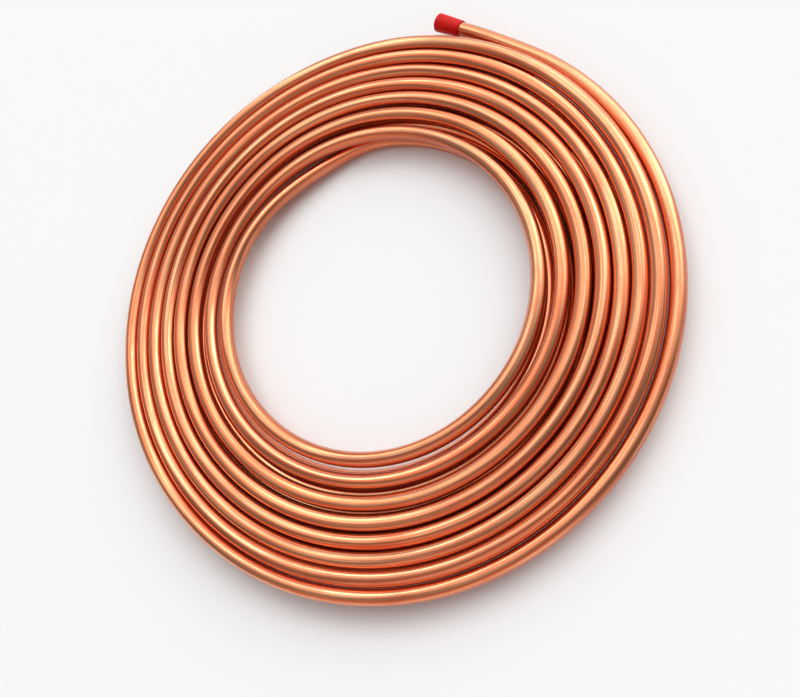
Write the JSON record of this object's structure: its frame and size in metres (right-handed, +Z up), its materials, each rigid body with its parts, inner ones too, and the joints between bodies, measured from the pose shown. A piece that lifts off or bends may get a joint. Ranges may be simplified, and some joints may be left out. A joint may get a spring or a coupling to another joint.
{
  "type": "copper tube coil",
  "caption": "Coil of soft copper tube lying flat, wound as two spiral layers one on the other, with an open eye and a push-on cap on each end.",
  "frame": {"origin": "on the floor under the middle of the coil's outline, so the underside of the lower layer lies on z = 0", "axes": "+Z up through the eye, along the winding axis; +Y towards the rim where the upper layer's tube ends in its cap; +X a quarter turn clockwise from it, seen from above"},
  "size_m": [0.4932, 0.5096, 0.03],
  "materials": {
    "copper": "bright drawn copper",
    "red_plastic": "moulded, satin"
  },
  "bodies": {
    "root": {"copper_tube": "copper", "end_cap_rim": "red_plastic", "end_cap_lower": "red_plastic"}
  },
  "joints": []
}
